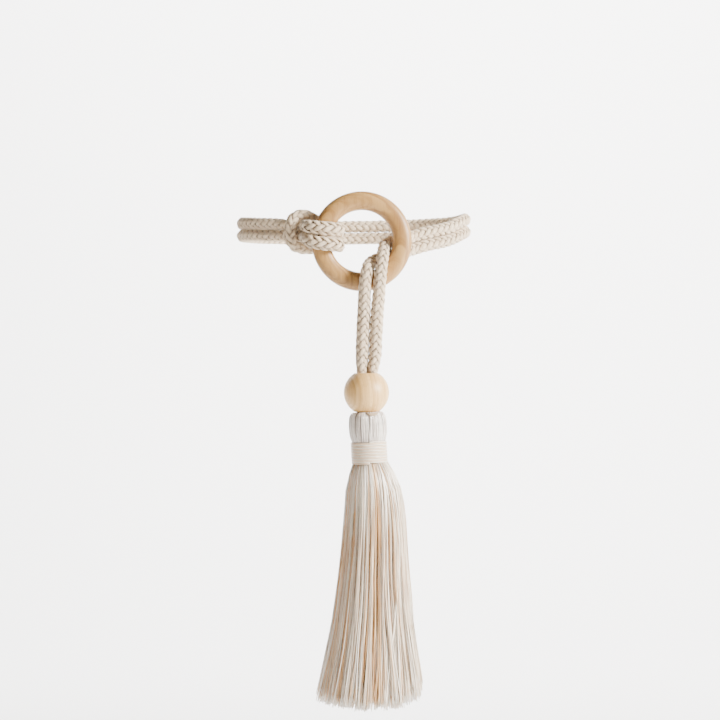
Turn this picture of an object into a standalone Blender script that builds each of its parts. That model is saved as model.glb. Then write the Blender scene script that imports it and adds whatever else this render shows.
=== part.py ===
"""Curtain tieback: a doubled cotton rope with a wooden ring, a wooden bead and a tassel.

The rope is one length. Its middle is hitched to the left of the ring, the two strands go
round the curtain, come back through the ring from behind, drop over the ring's lower rim
and pass through the bead into the head of the tassel.

Metres, +Z up. The tieback faces -Y, and the origin is the middle of the rope's loop.
"""

import math
import random

import bmesh
import bpy
import numpy as np
from mathutils import Matrix, Vector

MM = 0.001

# Rope
ROPE_RADIUS = 3.15
BRAID_RELIEF = 0.2
BRAID_STEP = 2.45
LOOP_HALF_WIDTH = 63.8
LOOP_HALF_DEPTH = 44.0

# Ring
RING_CENTRE = (4.5, -52.0, -11.2)
RING_OUTER_RADIUS = 27.5
RING_INNER_RADIUS = 17.1
RING_THICKNESS = 8.6
RING_SQUARENESS = 2.5
RING_SECTION_POINTS = 12
RING_STEPS = 48

# Bead
BEAD_CENTRE = (7.1, -60.6, -94.2)
BEAD_RADIUS = 12.4
BEAD_BORE_RADIUS = 5.8
BEAD_LIP = 0.7
BEAD_ARC_POINTS = 9
BEAD_STEPS = 26

# Tassel, measured down its own axis from the top of its head
TASSEL_TOP = (7.35, -60.6, -105.2)
TASSEL_LEAN = math.radians(3.3)
LOCKS_ACROSS = 11
LOCK_SHARE = 0.76
LOCK_TIP_SHARE = 0.8
TIP_LIFT = 9.0
TIP_UNEVENNESS = 3.0
INSET_START = 0.0001
HEAD_FLUTE = 0.22
FLUTES_END = 14.5
RECESS_RADIUS = 5.9
RECESS_LIP = 0.2
RECESS_DEPTH = 3.0

# Wound band round the tassel's neck
BAND_TOP = 15.5
BAND_HEIGHT = 12.4
BAND_INNER_RADIUS = 8.75
BAND_OUTER_RADIUS = 10.0
BAND_RIB = 0.3
BAND_TURNS = 11
BAND_STEPS = 24

DIRECTIONS = {
    "up": (0.0, 0.0, 1.0),
    "right": (1.0, 0.0, 0.0),
    "left": (-1.0, 0.0, 0.0),
    "up_left": (-0.7, 0.0, 0.7),
    "down_left": (-0.7, 0.0, -0.7),
}

# The two hanging strands, from the tassel's head up to the ring's lower rim.
HANGING_COLUMNS = ("x_upper", "x_lower", "y", "z", "width", "thick")
HANGING_ROWS = (
    (9.9, 4.6, -60.6, -107.4, 4.9, 7.2),
    (9.9, 4.6, -60.6, -96.0, 4.9, 7.2),
    (10.1, 4.7, -60.6, -85.0, 5.0, 7.2),
    (11.8, 4.5, -60.6, -76.0, 6.3, 6.7),
    (12.7, 4.7, -60.6, -62.0, 6.7, 6.7),
    (13.5, 5.5, -60.6, -48.0, 6.7, 6.7),
    (14.0, 6.1, -60.5, -39.4, 6.7, 6.7),
)

# The fold inside the ring, where the upper strand crosses in front of the lower one.
FOLD_COLUMNS = ("x_upper", "y_upper", "z_upper", "x_lower", "y_lower", "z_lower")
FOLD_ROWS = (
    (14.5, -60.2, -32.0, 6.6, -60.2, -33.5),
    (15.2, -59.3, -25.5, 7.6, -58.6, -27.2),
    (15.9, -56.4, -20.3, 9.4, -52.6, -23.4),
    (16.6, -52.5, -16.5, 12.4, -47.3, -21.2),
    (17.6, -48.0, -13.0, 16.5, -44.2, -19.3),
    (21.0, -44.7, -11.0, 21.0, -43.7, -18.2),
    (26.8, -43.9, -9.7, 26.8, -43.6, -17.0),
)

# From the ring to the right end of the loop.
RIGHT_COLUMNS = ("x", "z_upper", "z_lower")
RIGHT_ROWS = (
    (33.0, -7.6, -14.8),
    (38.8, -5.8, -12.9),
    (46.3, -3.9, -11.0),
    (52.5, -2.2, -9.3),
    (58.0, 0.6, -6.6),
    (62.0, 3.0, -4.2),
)
RIGHT_END_Z = 0.8
LEFT_END_Z = -1.6
PAIR_SPACING = 7.1
BACK_STATIONS = 9

# From the left end of the loop to the hitch, both strands side by side.
LEFT_COLUMNS = ("x", "z", "spacing", "width", "thick")
LEFT_ROWS = (
    (-62.0, -2.0, 6.9, 6.5, 6.8),
    (-57.0, -2.6, 6.8, 6.4, 6.9),
    (-50.0, -3.2, 6.7, 6.3, 6.9),
    (-42.0, -3.8, 6.6, 6.2, 6.9),
)

# The pair under the hitch's bar, over the ring's rim and round into its hole.
WRAP_COLUMNS = ("x", "y", "z", "spacing", "width", "thick")
WRAP_ROWS = (
    (-36.5, -36.6, -4.3, 6.1, 5.7, 6.8),
    (-31.0, -39.4, -4.7, 6.0, 5.6, 6.4),
    (-27.8, -44.2, -5.0, 6.0, 5.6, 6.0),
    (-26.6, -50.8, -5.8, 6.4, 6.0, 5.8),
    (-24.2, -57.0, -7.2, 7.6, 7.2, 5.6),
    (-18.5, -59.5, -8.4, 8.1, 7.7, 5.4),
    (-12.4, -58.9, -9.0, 8.2, 7.8, 5.2),
    (-8.6, -55.6, -9.1, 8.2, 7.8, 5.2),
    (-7.6, -51.8, -9.0, 8.2, 7.8, 5.2),
    (-8.5, -47.7, -8.6, 8.4, 7.6, 5.4),
    (-13.2, -44.9, -7.6, 9.6, 7.0, 5.8),
)

# Behind the rim the strands part, one above the pair and one below it.
LEG_COLUMNS = ("x", "y", "z_upper", "z_lower", "width", "thick")
LEG_ROWS = (
    (-18.2, -44.0, -1.2, -13.6, 6.4, 6.2),
    (-23.0, -43.7, 2.2, -14.6, 5.9, 6.6),
    (-28.0, -43.9, 3.9, -14.8, 5.8, 6.2),
)

# The bar that crosses in front of the pair.
BAR_COLUMNS = ("x", "y", "z", "outward", "width", "thick")
BAR_ROWS = (
    (-32.6, -45.0, 2.2, "up_left", 6.2, 6.0),
    (-34.6, -46.3, -2.0, "left", 6.8, 5.8),
    (-35.0, -46.6, -5.8, "left", 7.0, 5.6),
    (-34.6, -46.3, -9.6, "left", 6.8, 5.8),
    (-32.6, -45.0, -13.2, "down_left", 6.2, 6.0),
)

# The tassel's head and neck, as radii down its axis.
HEAD_COLUMNS = ("down", "radius")
HEAD_ROWS = (
    (0.0, 7.1),
    (1.0, 8.7),
    (3.2, 9.6),
    (8.0, 10.1),
    (12.5, 9.9),
    (14.9, 9.1),
    (15.3, 8.35),
)

# The skirt, as sections down its axis.
SKIRT_COLUMNS = ("down", "shift", "half_width", "half_depth")
SKIRT_ROWS = (
    (28.2, 0.0, 8.35, 8.35),
    (36.0, 0.9, 13.7, 10.9),
    (48.0, 1.0, 15.7, 11.7),
    (69.0, 0.0, 17.8, 12.8),
    (88.0, -1.7, 19.5, 13.8),
    (113.0, -3.7, 22.6, 15.5),
    (146.0, -6.6, 28.4, 19.2),
    (163.0, -8.4, 31.0, 21.0),
)
LOCK_SHARES_OF_LENGTH = (0.055, 0.2, 0.56, 1.0)


def rows_of(columns, rows):
    """A table's rows as dictionaries under its column names."""
    return [dict(zip(columns, row)) for row in rows]


def station(x, y, z, outward, width, thick):
    """One place on the rope: its centre, the side it turns outward, and its section there."""
    return (x, y, z, *outward, width, thick)


def side_by_side(x, y, z, spacing, width, thick):
    """The stations of both strands where they run one above the other."""
    up = Vector(DIRECTIONS["up"])
    upper = station(x, y, z + spacing / 2, up, width, thick)
    lower = station(x, y, z - spacing / 2, -up, width, thick)
    return upper, lower


def loop_depth(x):
    """How far the front of the loop lies from its middle at this x."""
    return -LOOP_HALF_DEPTH * math.sqrt(1 - (x / LOOP_HALF_WIDTH) ** 2)


def pair_stations():
    """Both strands from the tassel's head round to the hitch, as pairs of stations."""
    round_width = 2 * (ROPE_RADIUS + BRAID_RELIEF)
    up = Vector(DIRECTIONS["up"])
    right = Vector(DIRECTIONS["right"])
    pairs = []
    for row in rows_of(HANGING_COLUMNS, HANGING_ROWS):
        size = (row["width"], row["thick"])
        upper = station(row["x_upper"], row["y"], row["z"], right, *size)
        lower = station(row["x_lower"], row["y"], row["z"], -right, *size)
        pairs.append((upper, lower))
    fold = rows_of(FOLD_COLUMNS, FOLD_ROWS)
    for index, row in enumerate(fold):
        outward = right.lerp(up, (index + 1) / len(fold)).normalized()
        size = (round_width, round_width)
        upper = station(row["x_upper"], row["y_upper"], row["z_upper"], outward, *size)
        lower = station(row["x_lower"], row["y_lower"], row["z_lower"], -outward, *size)
        pairs.append((upper, lower))
    for row in rows_of(RIGHT_COLUMNS, RIGHT_ROWS):
        middle = (row["z_upper"] + row["z_lower"]) / 2
        spacing = row["z_upper"] - row["z_lower"]
        size = (round_width, round_width)
        pairs.append(side_by_side(row["x"], loop_depth(row["x"]), middle, spacing, *size))
    for index in range(BACK_STATIONS):
        share = index / (BACK_STATIONS - 1)
        angle = math.pi * share
        x = LOOP_HALF_WIDTH * math.cos(angle)
        y = LOOP_HALF_DEPTH * math.sin(angle)
        z = RIGHT_END_Z + (LEFT_END_Z - RIGHT_END_Z) * share
        pairs.append(side_by_side(x, y, z, PAIR_SPACING, round_width, round_width))
    for row in rows_of(LEFT_COLUMNS, LEFT_ROWS):
        size = (row["width"], row["thick"])
        pairs.append(side_by_side(row["x"], loop_depth(row["x"]), row["z"], row["spacing"], *size))
    for row in rows_of(WRAP_COLUMNS, WRAP_ROWS):
        pairs.append(side_by_side(**row))
    for row in rows_of(LEG_COLUMNS, LEG_ROWS):
        middle = (row["z_upper"] + row["z_lower"]) / 2
        spacing = row["z_upper"] - row["z_lower"]
        size = (row["width"], row["thick"])
        pairs.append(side_by_side(row["x"], row["y"], middle, spacing, *size))
    return pairs


def rope_stations():
    """The whole rope from one end in the tassel's head to the other."""
    pairs = pair_stations()
    bar = [
        station(**{**row, "outward": DIRECTIONS[row["outward"]]})
        for row in rows_of(BAR_COLUMNS, BAR_ROWS)
    ]
    upper = [pair[0] for pair in pairs]
    lower = [pair[1] for pair in pairs]
    return np.array(upper + bar + lower[::-1])


def smooth(stations, samples):
    """A smooth curve through the stations, as this many samples between each two."""
    gaps = np.linalg.norm(np.diff(stations[:, :3], axis=0), axis=1)
    places = np.concatenate([[0.0], np.cumsum(gaps)])
    slopes = np.gradient(stations, places, axis=0)
    curve = []
    for index, gap in enumerate(gaps):
        share = np.linspace(0, 1, samples, endpoint=False)[:, None]
        start, end = stations[index], stations[index + 1]
        leave, arrive = slopes[index] * gap, slopes[index + 1] * gap
        curve.append(
            (2 * share**3 - 3 * share**2 + 1) * start
            + (share**3 - 2 * share**2 + share) * leave
            + (3 * share**2 - 2 * share**3) * end
            + (share**3 - share**2) * arrive
        )
    curve.append(stations[-1:])
    return np.concatenate(curve)


def evenly(curve, step):
    """The same curve with its samples the same distance apart."""
    gaps = np.linalg.norm(np.diff(curve[:, :3], axis=0), axis=1)
    places = np.concatenate([[0.0], np.cumsum(gaps)])
    count = round(places[-1] / step)
    wanted = np.linspace(0, places[-1], count + 1)
    columns = [np.interp(wanted, places, curve[:, column]) for column in range(curve.shape[1])]
    return np.stack(columns, axis=1)


def principled(name, colour, roughness):
    """A plain material of one colour."""
    material = bpy.data.materials.new(name)
    material.use_nodes = True
    shader = material.node_tree.nodes["Principled BSDF"]
    shader.inputs["Base Color"].default_value = (*colour, 1.0)
    shader.inputs["Roughness"].default_value = roughness
    shader.inputs["Metallic"].default_value = 0.0
    return material


def add_object(name, data, material, collection):
    """An object in the part's collection with its own material."""
    made = bpy.data.objects.new(name, data)
    data.materials.append(material)
    collection.objects.link(made)
    return made


def turned(name, profile, steps, material, collection):
    """A closed profile of (radius, height) points in millimetres, turned about Z."""
    shape = bmesh.new()
    corners = [shape.verts.new((radius * MM, 0.0, height * MM)) for radius, height in profile]
    for first, second in zip(corners, corners[1:] + corners[:1]):
        shape.edges.new((first, second))
    mesh = bpy.data.meshes.new(name)
    shape.to_mesh(mesh)
    shape.free()
    made = add_object(name, mesh, material, collection)
    screw = made.modifiers.new("turn", "SCREW")
    screw.axis = "Z"
    screw.angle = math.tau
    screw.steps = steps
    screw.render_steps = steps
    screw.use_merge_vertices = True
    screw.merge_threshold = 0.00001
    screw.use_smooth_shade = True
    return made


def build_rope(collection):
    """One braided rope, from the tassel's head round the curtain and back."""
    samples = evenly(smooth(rope_stations(), 24), BRAID_STEP)
    route = bpy.data.curves.new("rope_route", "CURVE")
    route.dimensions = "3D"
    route.bevel_depth = ROPE_RADIUS * MM
    route.bevel_resolution = 2
    spline = route.splines.new("POLY")
    spline.points.add(len(samples) - 1)
    for point, sample in zip(spline.points, samples):
        point.co = (*(sample[:3] * MM), 1.0)
    guide = bpy.data.objects.new("rope_route", route)
    collection.objects.link(guide)
    graph = bpy.context.evaluated_depsgraph_get()
    mesh = bpy.data.meshes.new_from_object(guide.evaluated_get(graph))
    bpy.data.objects.remove(guide)

    sides = 4 + 2 * route.bevel_resolution
    tangents = np.gradient(samples[:, :3], axis=0)
    shape = bmesh.new()
    shape.from_mesh(mesh)
    shape.verts.ensure_lookup_table()
    for index, sample in enumerate(samples):
        centre = Vector(sample[:3]) * MM
        tangent = Vector(tangents[index]).normalized()
        outward = Vector(sample[3:6])
        outward = (outward - tangent * outward.dot(tangent)).normalized()
        inward_side = tangent.cross(outward)
        stretch_out = sample[6] / 2 - ROPE_RADIUS - BRAID_RELIEF
        stretch_in = sample[7] / 2 - ROPE_RADIUS - BRAID_RELIEF
        for side in range(sides):
            corner = shape.verts[index * sides + side]
            away = (corner.co - centre).normalized()
            raised = BRAID_RELIEF if (index + side) % 2 else -BRAID_RELIEF
            across = away.dot(outward) * (ROPE_RADIUS + raised + stretch_out)
            through = away.dot(inward_side) * (ROPE_RADIUS + raised + stretch_in)
            corner.co = centre + (outward * across + inward_side * through) * MM
    open_ends = [edge for edge in shape.edges if edge.is_boundary]
    bmesh.ops.holes_fill(shape, edges=open_ends, sides=sides)
    bmesh.ops.recalc_face_normals(shape, faces=shape.faces)
    shape.to_mesh(mesh)
    shape.free()
    mesh.shade_smooth()
    cotton = principled("cotton_rope", (0.83, 0.79, 0.71), 0.95)
    add_object("rope", mesh, cotton, collection)


def build_ring(collection):
    """The wooden ring, round in its section with flattened faces, standing in the XZ plane."""
    middle = (RING_OUTER_RADIUS + RING_INNER_RADIUS) / 2
    half_width = (RING_OUTER_RADIUS - RING_INNER_RADIUS) / 2
    power = 2 / RING_SQUARENESS
    profile = []
    for index in range(RING_SECTION_POINTS):
        angle = -math.tau * index / RING_SECTION_POINTS
        across = math.copysign(abs(math.cos(angle)) ** power, math.cos(angle))
        along = math.copysign(abs(math.sin(angle)) ** power, math.sin(angle))
        profile.append((middle + half_width * across, RING_THICKNESS / 2 * along))
    wood = principled("ring_wood", (0.80, 0.66, 0.46), 0.5)
    ring = turned("ring", profile, RING_STEPS, wood, collection)
    ring.rotation_euler = (math.pi / 2, 0.0, 0.0)
    ring.location = Vector(RING_CENTRE) * MM


def build_bead(collection):
    """The drilled ball on the two strands."""
    lip_radius = BEAD_BORE_RADIUS + BEAD_LIP
    end_angle = math.acos(lip_radius / BEAD_RADIUS)
    top = BEAD_RADIUS * math.sin(end_angle)
    profile = []
    for index in range(BEAD_ARC_POINTS):
        angle = end_angle - 2 * end_angle * index / (BEAD_ARC_POINTS - 1)
        profile.append((BEAD_RADIUS * math.cos(angle), BEAD_RADIUS * math.sin(angle)))
    profile.append((BEAD_BORE_RADIUS, -top + BEAD_LIP))
    profile.append((BEAD_BORE_RADIUS, top - BEAD_LIP))
    wood = principled("bead_wood", (0.88, 0.78, 0.60), 0.45)
    bead = turned("bead", profile, BEAD_STEPS, wood, collection)
    bead.location = Vector(BEAD_CENTRE) * MM


def build_band(collection):
    """The thread wound round the tassel's neck, one rib for each turn."""
    pitch = BAND_HEIGHT / BAND_TURNS
    profile = [(BAND_OUTER_RADIUS - BAND_RIB, 0.0)]
    for turn in range(BAND_TURNS):
        profile.append((BAND_OUTER_RADIUS, -(turn + 0.5) * pitch))
        profile.append((BAND_OUTER_RADIUS - BAND_RIB, -(turn + 1) * pitch))
    profile.append((BAND_INNER_RADIUS, -BAND_HEIGHT))
    profile.append((BAND_INNER_RADIUS, 0.0))
    thread = principled("band_thread", (0.86, 0.80, 0.72), 0.4)
    band = turned("neck_wrap", profile, BAND_STEPS, thread, collection)
    lean = Matrix.Rotation(-TASSEL_LEAN, 4, "Y")
    band.rotation_euler = (0.0, -TASSEL_LEAN, 0.0)
    band.location = (Vector(TASSEL_TOP) + lean @ Vector((0.0, 0.0, -BAND_TOP))) * MM


def on_disc(x, y):
    """A point of the square from -1 to 1 moved to the round disc."""
    return x * math.sqrt(1 - y * y / 2), y * math.sqrt(1 - x * x / 2)


def skirt_section(down):
    """The skirt's sideways shift, half width and half depth this far down."""
    table = np.array(SKIRT_ROWS)
    return [float(np.interp(down, table[:, 0], table[:, column])) for column in (1, 2, 3)]


def skirt_point(disc_x, disc_y, down):
    """Where a place on the unit disc lies in the skirt this far down."""
    shift, half_width, half_depth = skirt_section(down)
    return Vector((shift + disc_x * half_width, disc_y * half_depth, -down)) * MM


def build_tassel(collection):
    """The yarn bundle: head, neck and the locks of the skirt, all fused at the neck."""
    root_down = SKIRT_ROWS[0][0]
    chance = random.Random(7)
    shape = bmesh.new()
    bmesh.ops.create_grid(shape, x_segments=LOCKS_ACROSS, y_segments=LOCKS_ACROSS, size=1.0)
    on_unit_disc = {}
    for vert in shape.verts:
        on_unit_disc[vert] = on_disc(vert.co.x, vert.co.y)
        vert.co = skirt_point(*on_unit_disc[vert], root_down)
    roots = list(shape.faces)
    rim = [edge for edge in shape.edges if edge.is_boundary]

    loop = rim
    for row in reversed(rows_of(HEAD_COLUMNS, HEAD_ROWS)):
        grown = bmesh.ops.extrude_edge_only(shape, edges=loop)["geom"]
        loop = [item for item in grown if isinstance(item, bmesh.types.BMEdge)]
        for vert in [item for item in grown if isinstance(item, bmesh.types.BMVert)]:
            angle = math.atan2(vert.co.y, vert.co.x)
            flute = HEAD_FLUTE * math.cos(angle * 2 * LOCKS_ACROSS)
            radius = row["radius"] + (flute if row["down"] < FLUTES_END else 0.0)
            vert.co = Vector((radius * math.cos(angle), radius * math.sin(angle), -row["down"])) * MM
    for radius, down in ((RECESS_RADIUS, RECESS_LIP), (RECESS_RADIUS - RECESS_LIP, RECESS_DEPTH)):
        grown = bmesh.ops.extrude_edge_only(shape, edges=loop)["geom"]
        loop = [item for item in grown if isinstance(item, bmesh.types.BMEdge)]
        for vert in [item for item in grown if isinstance(item, bmesh.types.BMVert)]:
            angle = math.atan2(vert.co.y, vert.co.x)
            vert.co = Vector((radius * math.cos(angle), radius * math.sin(angle), -down)) * MM
    bmesh.ops.contextual_create(shape, geom=loop)

    for root in roots:
        middle = np.mean([on_unit_disc[vert] for vert in root.verts], axis=0)
        reach = float(np.hypot(*middle))
        corners = [np.array(on_unit_disc[vert]) for vert in root.verts]
        full = SKIRT_ROWS[-1][0] - root_down - TIP_LIFT * reach**2
        length = full - TIP_UNEVENNESS * chance.random()
        bmesh.ops.inset_individual(shape, faces=[root], thickness=INSET_START)
        for vert, corner in zip(root.verts, corners):
            place = middle + (corner - middle) * LOCK_SHARE
            vert.co = skirt_point(*place, root_down)
        face = root
        for share in LOCK_SHARES_OF_LENGTH:
            face = bmesh.ops.extrude_discrete_faces(shape, faces=[face])["faces"][0]
            width = LOCK_SHARE * (LOCK_TIP_SHARE if share == 1.0 else 1.0)
            for vert, corner in zip(face.verts, corners):
                place = middle + (corner - middle) * width
                vert.co = skirt_point(*place, root_down + length * share)
    bmesh.ops.recalc_face_normals(shape, faces=shape.faces)
    mesh = bpy.data.meshes.new("tassel")
    shape.to_mesh(mesh)
    shape.free()
    yarn = principled("tassel_yarn", (0.92, 0.87, 0.79), 0.4)
    tassel = add_object("tassel", mesh, yarn, collection)
    tassel.rotation_euler = (0.0, -TASSEL_LEAN, 0.0)
    tassel.location = Vector(TASSEL_TOP) * MM


def main():
    for old in list(bpy.data.objects):
        bpy.data.objects.remove(old)
    collection = bpy.data.collections.new("curtain_tieback")
    bpy.context.scene.collection.children.link(collection)
    build_rope(collection)
    build_ring(collection)
    build_bead(collection)
    build_tassel(collection)
    build_band(collection)


main()
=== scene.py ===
"""The looks of a curtain tieback: braided rope, turned ring, drilled bead and thread tassel.

Laid out as an add-on with one operator for each piece, and run as a script. The frame that is
loaded first gives the places and sizes, and every piece here rides on it.
"""

import math

import bmesh
import bpy
import numpy as np
from bpy.props import FloatProperty, FloatVectorProperty, IntProperty, PointerProperty
from mathutils import Matrix, Vector


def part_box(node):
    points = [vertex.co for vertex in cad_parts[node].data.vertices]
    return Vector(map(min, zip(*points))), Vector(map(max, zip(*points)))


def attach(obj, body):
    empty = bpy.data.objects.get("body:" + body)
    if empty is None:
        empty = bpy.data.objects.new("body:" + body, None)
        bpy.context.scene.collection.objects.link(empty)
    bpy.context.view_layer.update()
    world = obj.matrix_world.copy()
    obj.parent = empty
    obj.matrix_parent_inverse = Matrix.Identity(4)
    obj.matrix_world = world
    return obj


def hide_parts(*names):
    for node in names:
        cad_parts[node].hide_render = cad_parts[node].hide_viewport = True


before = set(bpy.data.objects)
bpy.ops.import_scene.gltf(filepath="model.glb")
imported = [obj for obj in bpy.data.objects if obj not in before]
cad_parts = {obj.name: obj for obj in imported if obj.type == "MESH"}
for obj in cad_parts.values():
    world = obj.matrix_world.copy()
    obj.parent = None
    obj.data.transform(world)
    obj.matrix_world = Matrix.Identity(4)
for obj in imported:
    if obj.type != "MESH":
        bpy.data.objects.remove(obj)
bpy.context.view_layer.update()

bl_info = {
    "name": "Curtain Tieback",
    "version": (1, 0, 0),
    "blender": (4, 5, 0),
    "location": "View3D > Sidebar > Tieback",
    "description": "Braided rope, wooden ring, wooden bead and silky tassel of a curtain tieback",
    "category": "Add Mesh",
}

MM = 0.001
MERGE_DISTANCE = 0.000001

# The view
VIEW_DISTANCE = 1.1
VIEW_X = 0.0036
VIEW_Z = -0.0765
VIEW_WIDTH = 0.396

# The ring
RING_INNER_RADIUS = 17.1
RING_SQUARENESS = 2.5

# The bead, whose mouths close a little tighter on the rope than its node's
BEAD_BORE_RADIUS = 5.45
BEAD_LIP = 0.8

# The tassel, measured down its own axis from the top of its head
TASSEL_TOP = (7.35, -60.6, -105.2)
TASSEL_LEAN = math.radians(3.3)
BAND_TOP = 15.5
BAND_HEIGHT = 12.4
# Painted highlight: the cut ends of the skirt's threads, the skirt's top and a few whiter threads and head
# yarns are lightened towards this colour
PAINTED_HIGHLIGHT = (1.0, 0.94, 0.84)

UP = Vector((0.0, 0.0, 1.0))
RIGHT = Vector((1.0, 0.0, 0.0))
LEFT = -RIGHT
UP_LEFT = (-0.7, 0.0, 0.7)
DOWN_LEFT = (-0.7, 0.0, -0.7)

# The rope's route, which is its solid's, with the hanging strands a little closer together
ROUND_ROPE = 6.7
LOOP_HALF_WIDTH = 63.8
LOOP_HALF_DEPTH = 44.0
RIGHT_END_Z = 0.8
LEFT_END_Z = -1.6
PAIR_SPACING = 7.1
BACK_STATIONS = 9

# The hanging strands: x of the right one and of the left one, y, z, width and thickness
HANGING_ROWS = (
    (9.9, 4.6, -60.6, -107.4, 4.9, 7.2),
    (9.9, 4.6, -60.6, -96.0, 4.9, 7.2),
    (10.1, 4.7, -60.6, -85.0, 5.0, 7.2),
    (11.6, 4.7, -60.6, -76.0, 6.6, 6.7),
    (12.3, 5.1, -60.6, -62.0, 7.0, 6.7),
    (13.2, 5.8, -60.6, -48.0, 7.0, 6.7),
    (14.0, 6.1, -60.5, -39.4, 6.7, 6.7),
)

# The fold through the ring: x, y and z of the upper strand, then of the lower one
FOLD_ROWS = (
    (14.5, -60.2, -32.0, 6.6, -60.2, -33.5),
    (15.2, -59.3, -25.5, 7.6, -58.6, -27.2),
    (15.9, -56.4, -20.3, 9.4, -52.6, -23.4),
    (16.6, -52.5, -16.5, 12.4, -47.3, -21.2),
    (17.6, -48.0, -13.0, 16.5, -44.2, -19.3),
    (21.0, -44.7, -11.0, 21.0, -43.7, -18.2),
    (26.8, -43.9, -9.7, 26.8, -43.6, -17.0),
)

# The right of the loop: x, z of the upper strand and z of the lower one
RIGHT_ROWS = (
    (33.0, -7.6, -14.8),
    (38.8, -5.8, -12.9),
    (46.3, -3.9, -11.0),
    (52.5, -2.2, -9.3),
    (58.0, 0.6, -6.6),
    (62.0, 3.0, -4.2),
)

# The left of the loop: x, z, spacing, width and thickness
LEFT_ROWS = (
    (-62.0, -2.0, 6.9, 6.5, 6.8),
    (-57.0, -2.6, 6.8, 6.4, 6.9),
    (-50.0, -3.2, 6.7, 6.3, 6.9),
    (-42.0, -3.8, 6.6, 6.2, 6.9),
)

# Under the bar, over the ring's left rim and into its hole: x, y, z, spacing, width, thickness
WRAP_ROWS = (
    (-36.5, -36.6, -4.3, 6.1, 5.7, 6.8),
    (-31.0, -39.4, -4.7, 6.0, 5.6, 6.4),
    (-27.8, -44.2, -5.0, 6.0, 5.6, 6.0),
    (-26.6, -50.8, -5.8, 6.4, 6.0, 5.8),
    (-24.2, -57.0, -7.2, 7.6, 7.2, 5.6),
    (-18.5, -59.5, -8.4, 8.1, 7.7, 5.4),
    (-12.4, -58.9, -9.0, 8.2, 7.8, 5.2),
    (-8.6, -55.6, -9.1, 8.2, 7.8, 5.2),
    (-7.6, -51.8, -9.0, 8.2, 7.8, 5.2),
    (-8.5, -47.7, -8.6, 8.4, 7.6, 5.4),
    (-13.2, -44.9, -7.6, 9.6, 7.0, 5.8),
)

# Apart again behind the rim: x, y, z of the upper strand and of the lower one, width, thickness
LEG_ROWS = (
    (-18.2, -44.0, -1.2, -13.6, 6.4, 6.2),
    (-23.0, -43.7, 2.2, -14.6, 5.9, 6.6),
    (-28.0, -43.9, 3.9, -14.8, 5.8, 6.2),
)

# The bar that joins the two strands: x, y, z, the side it turns outward, width and thickness
BAR_ROWS = (
    (-32.6, -45.0, 2.2, UP_LEFT, 6.2, 6.0),
    (-34.6, -46.3, -2.0, LEFT, 6.8, 5.8),
    (-35.0, -46.6, -5.8, LEFT, 7.0, 5.6),
    (-34.6, -46.3, -9.6, LEFT, 6.8, 5.8),
    (-32.6, -45.0, -13.2, DOWN_LEFT, 6.2, 6.0),
)

# The skirt's sections: how far down its axis, shift to the right, half width and half depth
SKIRT_ROWS = (
    (24.0, 0.0, 8.0, 8.0),
    (28.2, 0.2, 9.4, 8.9),
    (36.0, 0.9, 13.5, 10.9),
    (48.0, 1.0, 15.6, 11.8),
    (69.0, 0.0, 17.6, 12.9),
    (88.0, -1.7, 19.2, 13.8),
    (113.0, -3.7, 22.3, 15.5),
    (146.0, -6.6, 28.0, 19.2),
    (165.0, -8.6, 31.0, 21.0),
)

# Where the threads are cut off, from the skirt's left, at -1, to its right: across and down
HEM_ROWS = (
    (-1.0, 153.0),
    (-0.7, 157.8),
    (-0.2, 162.0),
    (0.3, 162.8),
    (0.6, 161.0),
    (0.85, 157.8),
    (1.0, 148.0),
)

# Where the warmer threads show, in degrees round the skirt from its right: middle and half width
WARM_ROWS = (
    (-165.0, 14.0),
    (-133.0, 9.0),
    (-107.0, 7.0),
    (-82.0, 9.0),
    (-56.0, 5.0),
)

# One yarn of the head, from the recess over the shoulder to under the band: radius and down
HEAD_ROWS = (
    (5.5, 2.2),
    (5.9, 0.5),
    (6.9, -0.1),
    (8.3, 0.4),
    (9.3, 1.9),
    (9.8, 4.5),
    (10.0, 8.0),
    (9.8, 12.0),
    (9.2, 14.6),
    (8.5, 16.5),
)

# The bit of cord that lies on the head's shoulder under the bead: x, y and z
KNOT_ROWS = (
    (6.6, -67.0, -105.3),
    (7.8, -69.0, -105.8),
    (9.8, -69.6, -106.1),
    (12.0, -68.6, -105.9),
    (13.2, -66.8, -105.3),
)


def node_box(node):
    """The middle and the sides of a node's box, in millimetres."""
    low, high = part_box(node)
    return (low + high) / 2 / MM, (high - low) / MM


def station(x, y, z, outward, width, thick):
    """One place on the rope: its centre, the side it turns outward, and its section there."""
    return (x, y, z, *outward, width, thick)


def side_by_side(x, y, z, spacing, width, thick):
    """The stations of both strands where they run one above the other."""
    upper = station(x, y, z + spacing / 2, UP, width, thick)
    lower = station(x, y, z - spacing / 2, -UP, width, thick)
    return upper, lower


def loop_depth(x):
    """How far the front of the loop lies from its middle at this x."""
    return -LOOP_HALF_DEPTH * math.sqrt(1 - (x / LOOP_HALF_WIDTH) ** 2)


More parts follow.
